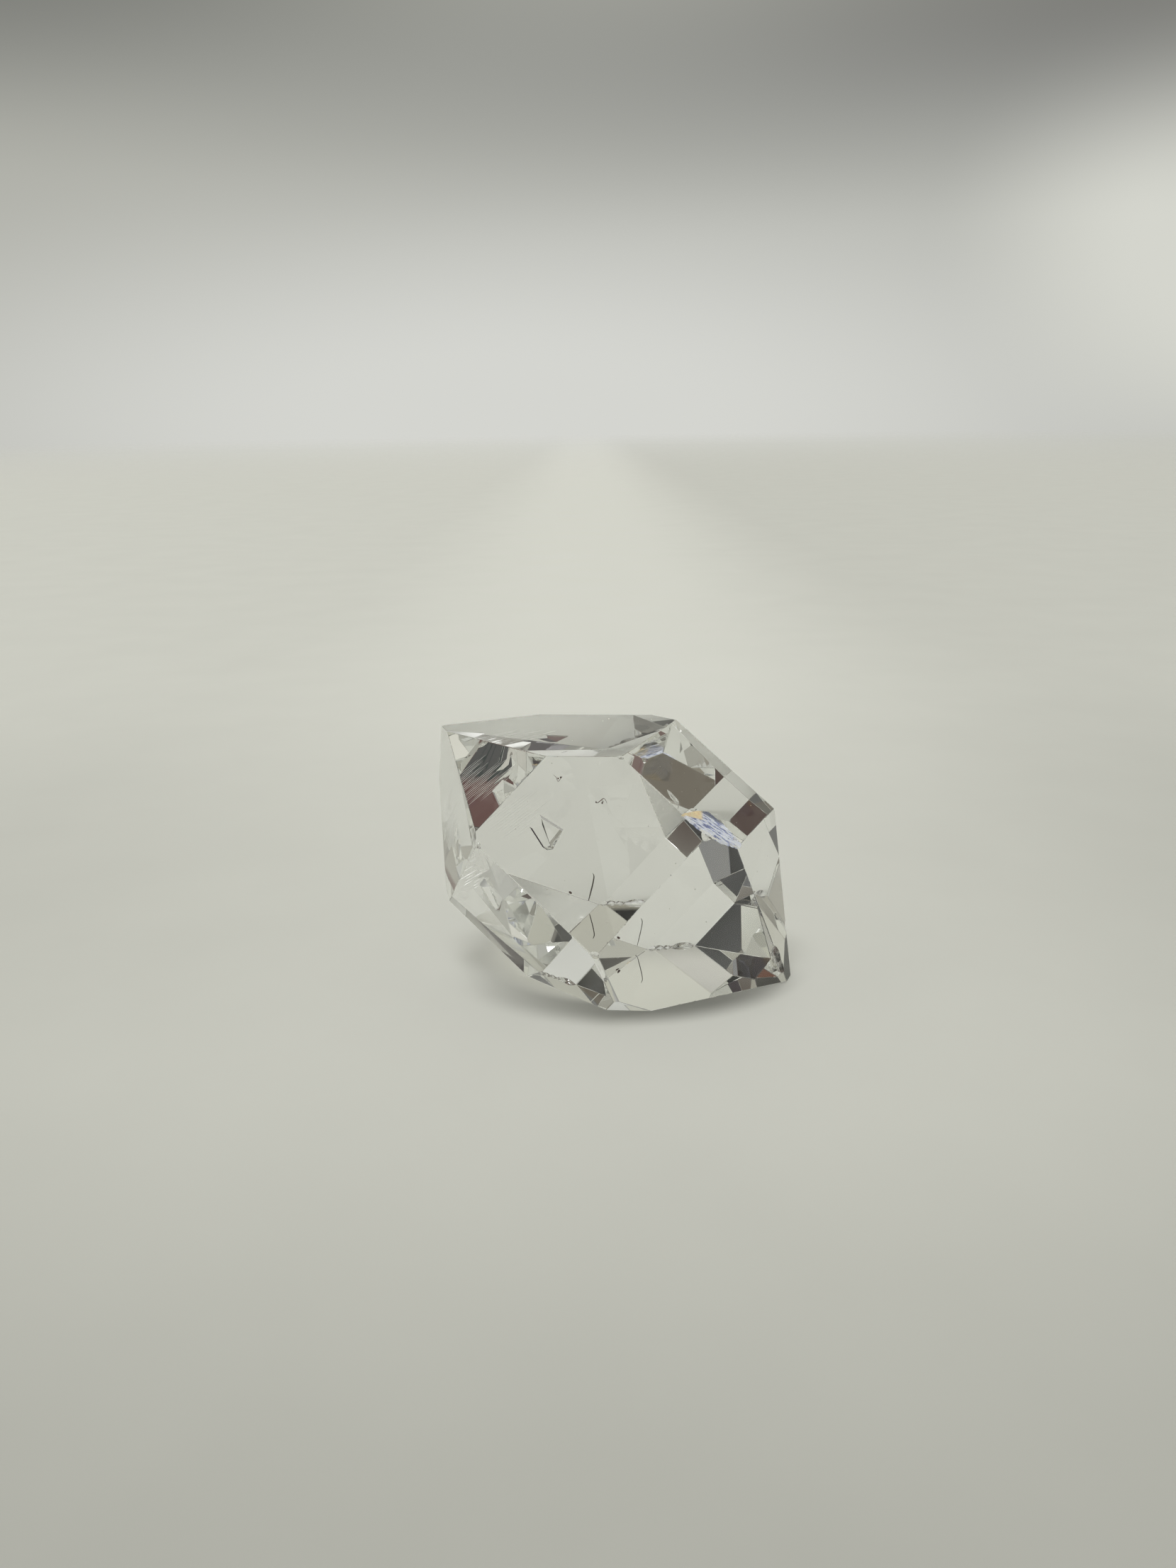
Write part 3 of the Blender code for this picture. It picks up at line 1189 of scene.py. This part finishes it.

# Painted contact shadow, a dark ring round that patch: where it rises and falls, in shares of the patch's
# size, how far back it reaches, where it grows to the right, and how dark it is at the left and how much
# darker at the right.
RING_RISES = (0.85, 1.0)
RING_FALLS = (1.08, 1.35)
RING_ENDS = (-0.004, -0.001)
RING_GROWS = (-0.006, 0.003)
RING_LEFT = 0.1
RING_GAIN = 0.4


def floor_material(settings):
    """Pale and faintly glowing, with painted shade towards the viewer and the sides, a painted contact
    shadow and a painted glow under the crystal, and lost in the room far off.
    """
    material = bpy.data.materials.new("pale_floor")
    sheet = NodeSheet(material)
    place = sheet.node("ShaderNodeTexCoord", output="Object")
    cloud = sheet.noise(place, CLOUD_FINENESS, 3.0)
    depth = sheet.dot(place, (0.0, 1.0, 0.0))
    right = sheet.dot(place, (1.0, 0.0, 0.0))

    def shade_above(value, reach, darkness):
        return sheet.step(value, *reach) * darkness

    def shade_below(value, reach, darkness):
        return (1.0 - sheet.step(value, *reach)) * darkness

    across = (right - GLOW_MIDDLE[0]) / GLOW_SIZE[0]
    along = (depth - GLOW_MIDDLE[1]) / GLOW_SIZE[1]
    rim = (across * across + along * along).root()
    under = 1.0 - sheet.step(rim, *GLOW_RIM)
    # Painted contact shadow round the crystal's foot, on the viewer's side and darkest at the right.
    painted_contact_shadow = sheet.step(rim, *RING_RISES) * (1.0 - sheet.step(rim, *RING_FALLS))
    painted_contact_shadow = painted_contact_shadow * (1.0 - sheet.step(depth, *RING_ENDS))
    painted_contact_shadow = painted_contact_shadow * (sheet.step(right, *RING_GROWS) * RING_GAIN + RING_LEFT)
    # Painted shade towards the sides and the viewer, with the floor's own mottling and the painted contact
    # shadow.
    sides = shade_above(right, *RIGHT_SHADE) + shade_below(right, *LEFT_SHADE)
    dim = shade_below(depth, *NEAR_SHADE) + shade_below(depth, *MIDDLE_SHADE) + sides
    dim = dim + cloud * CLOUD_MOTTLING + painted_contact_shadow
    colour = sheet.mix(dim, rgba(settings.floor_colour), SHADE_COLOUR)
    far_off = sheet.dot(place, place).root()
    shader = sheet.node(
        "ShaderNodeBsdfPrincipled",
        inputs={
            "Base Color": colour,
            "Roughness": 0.8,
            "Alpha": 1.0 - sheet.step(far_off, *FLOOR_FADES),
            # Painted glow: the lit patch under the crystal, and the whole floor faintly in its own colour.
            "Emission Color": sheet.mix(under, colour, GLOW_COLOUR),
            "Emission Strength": FLOOR_PAINTED_GLOW,
        },
    )
    sheet.node("ShaderNodeOutputMaterial", inputs={"Surface": shader})
    return material


def make_floor(settings):
    """A wide flat floor, a hair below the crystal."""
    deselect_all()
    bpy.ops.mesh.primitive_plane_add(size=2.0 * FLOOR_HALF_WIDTH, location=(0.0, 0.0, -FLOOR_GAP))
    floor = bpy.context.object
    floor.name = "studio_floor"
    apply_place(floor)
    floor.data.materials.append(floor_material(settings))


# The camera's place in metres and its turn, and its focal length in pixels of the photograph.
CAMERA_PLACE = Vector((-0.000799, -0.040163, 0.018803))
CAMERA_RIGHT = Vector((0.99991, -0.00398, -0.01297))
CAMERA_UP = Vector((0.01356, 0.29320, 0.95596))
FOCAL_PIXELS = 1694.98
PHOTO_HEIGHT = 2212.0
SENSOR_SIZE = 36.0
FURTHEST_SEEN = 10.0


def place_camera():
    """A camera at the photograph's place, with its angle of view."""
    data = bpy.data.cameras.new("camera")
    data.sensor_fit = "AUTO"
    data.sensor_width = SENSOR_SIZE
    data.lens = FOCAL_PIXELS / PHOTO_HEIGHT * SENSOR_SIZE
    data.clip_start = MM
    data.clip_end = FURTHEST_SEEN
    camera = bpy.data.objects.new("camera", data)
    back = CAMERA_RIGHT.cross(CAMERA_UP).normalized()
    right = CAMERA_UP.cross(back).normalized()
    turn = Matrix((right, back.cross(right), back)).transposed().to_4x4()
    camera.matrix_world = Matrix.Translation(CAMERA_PLACE) @ turn
    bpy.context.scene.collection.objects.link(camera)
    bpy.context.scene.camera = camera


INNER_REFLECTIONS = 24


class CRYSTAL_OT_studio(bpy.types.Operator):
    """Adds the floor, the soft light and the camera"""

    bl_idname = "crystal.studio"
    bl_label = "Studio"

    def execute(self, context):
        settings = context.scene.studio
        make_floor(settings)
        light_room(settings)
        place_camera()
        context.scene.view_settings.view_transform = "Standard"
        context.scene.cycles.max_bounces = INNER_REFLECTIONS
        context.scene.cycles.glossy_bounces = INNER_REFLECTIONS
        context.scene.cycles.transmission_bounces = INNER_REFLECTIONS
        return {"FINISHED"}


class CRYSTAL_PT_sidebar(bpy.types.Panel):
    """Lists the crystal's pieces and their settings"""

    bl_label = "Herkimer Diamond"
    bl_idname = "CRYSTAL_PT_sidebar"
    bl_space_type = "VIEW_3D"
    bl_region_type = "UI"
    bl_category = "Crystal"

    def draw(self, context):
        layout = self.layout
        for operator in OPERATORS:
            layout.operator(operator.bl_idname)
        for group in (context.scene.crystal, context.scene.marks, context.scene.studio):
            for name in group.__annotations__:
                layout.prop(group, name)


OPERATORS = (
    CRYSTAL_OT_quartz,
    CRYSTAL_OT_crack,
    CRYSTAL_OT_fibre,
    CRYSTAL_OT_threads,
    CRYSTAL_OT_dust,
    CRYSTAL_OT_studio,
)
CLASSES = (CrystalSettings, MarkSettings, StudioSettings, *OPERATORS, CRYSTAL_PT_sidebar)


def register():
    for item in CLASSES:
        bpy.utils.register_class(item)
    bpy.types.Scene.crystal = PointerProperty(type=CrystalSettings)
    bpy.types.Scene.marks = PointerProperty(type=MarkSettings)
    bpy.types.Scene.studio = PointerProperty(type=StudioSettings)


def unregister():
    del bpy.types.Scene.studio
    del bpy.types.Scene.marks
    del bpy.types.Scene.crystal
    for item in reversed(CLASSES):
        bpy.utils.unregister_class(item)


def main():
    register()
    bpy.ops.crystal.quartz()
    bpy.ops.crystal.crack()
    bpy.ops.crystal.fibre()
    bpy.ops.crystal.threads()
    bpy.ops.crystal.dust()
    bpy.ops.crystal.studio()


if __name__ == "__main__":
    main()
